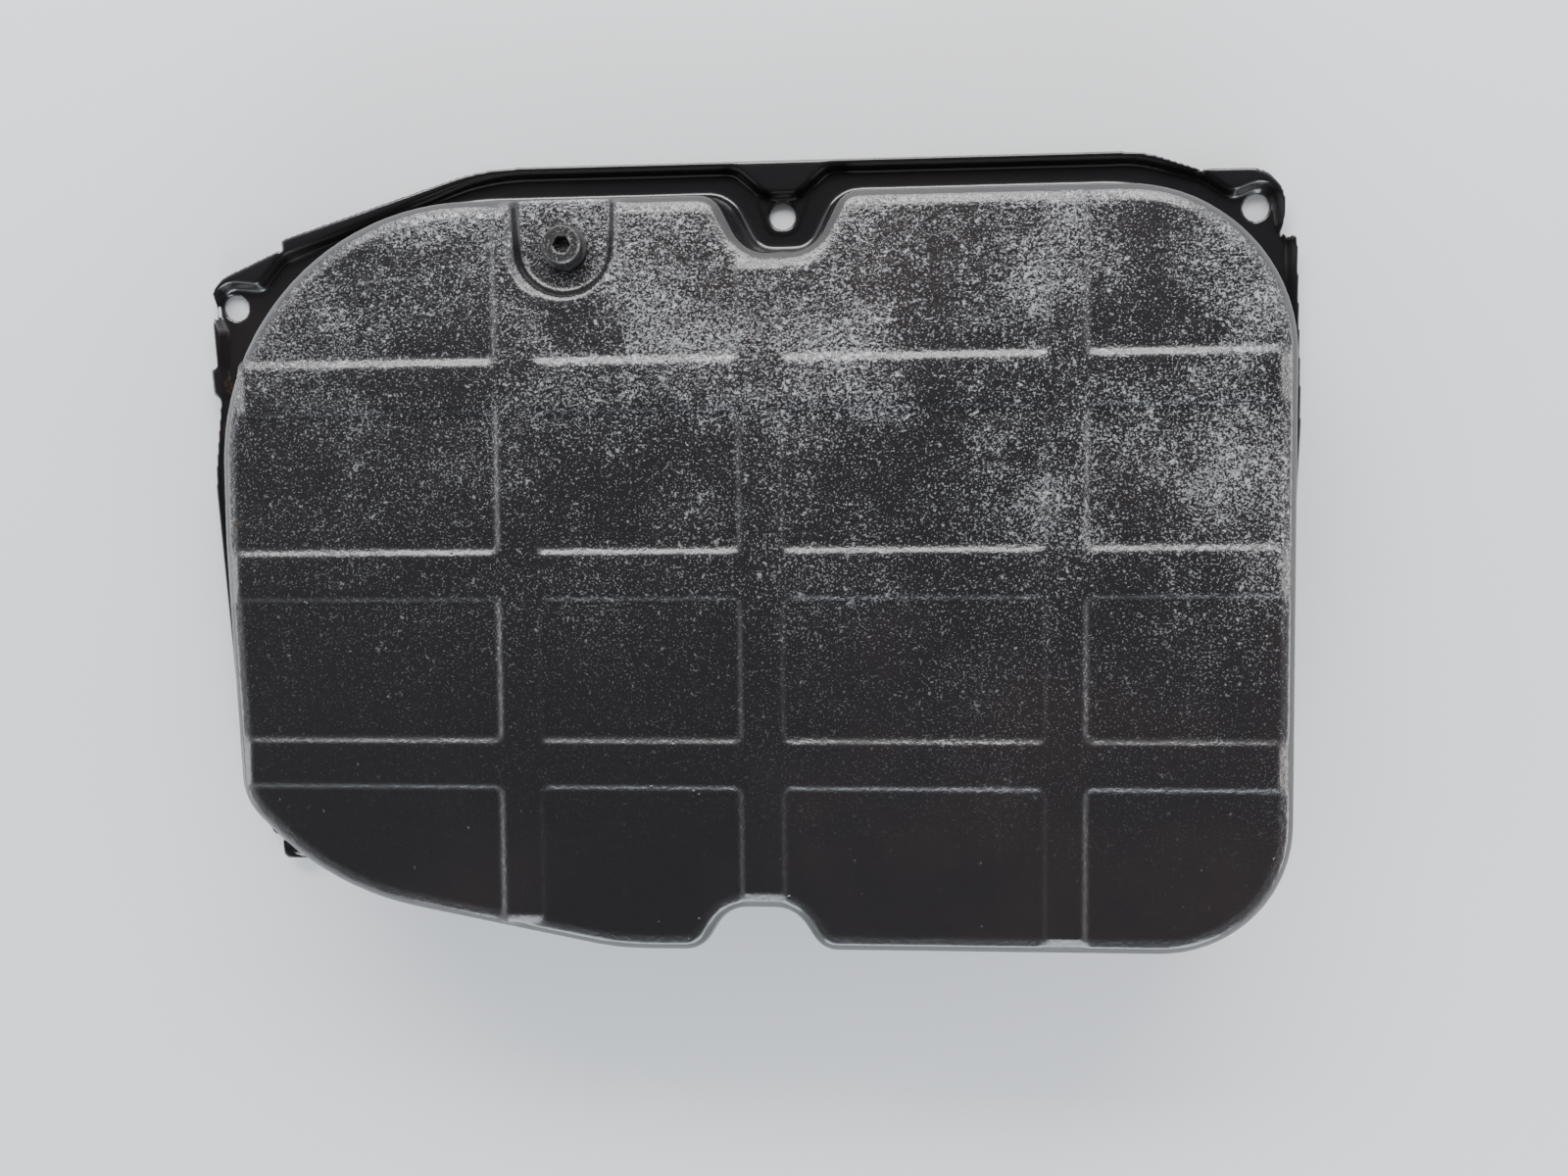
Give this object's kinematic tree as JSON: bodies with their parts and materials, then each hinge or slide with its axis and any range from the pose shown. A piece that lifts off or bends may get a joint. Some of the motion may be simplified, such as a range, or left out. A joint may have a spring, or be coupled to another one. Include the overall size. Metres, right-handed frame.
{
  "type": "automatic gearbox oil pan",
  "caption": "Shallow wedge-shaped pressed steel gearbox oil pan with turned-up flange rim, bolt ears, ribbed bottom and a recessed socket drain plug.",
  "frame": {"origin": "centre of the overall size in X and Y, on the plane of the flange's gasket face", "axes": "+X along the long side, +Z from the gasket face towards the outer bottom face, which is turned upwards; in use the pan hangs the other way up"},
  "size_m": [0.3732, 0.261, 0.0686],
  "materials": {
    "pan_paint": "gloss",
    "boss_paint": "satin",
    "seal_metal": "satin",
    "plug_paint": "satin",
    "magnet_ferrite": "matte"
  },
  "bodies": {
    "pan": {"pan_shell": "pan_paint", "drain_boss": "boss_paint", "chip_magnet": "magnet_ferrite"},
    "seal": {"plug_seal_ring": "seal_metal"},
    "plug": {"drain_plug": "plug_paint"}
  },
  "joints": [
    {"name": "plug_lift", "type": "slide", "parent": "pan", "child": "seal", "axis": [0, 0.1392, 0.9903], "range_m": [0, 0.011]},
    {"name": "plug_turn", "type": "hinge", "parent": "seal", "child": "plug", "pos_m": [-0.051, 0.10249, 0.0376], "axis": [0, 0.1392, 0.9903], "range_deg": [0, 3960]}
  ],
  "couplings": [
    {"joint": "plug_lift", "follows": "plug_turn", "m_per_rad": 0.00015915}
  ]
}
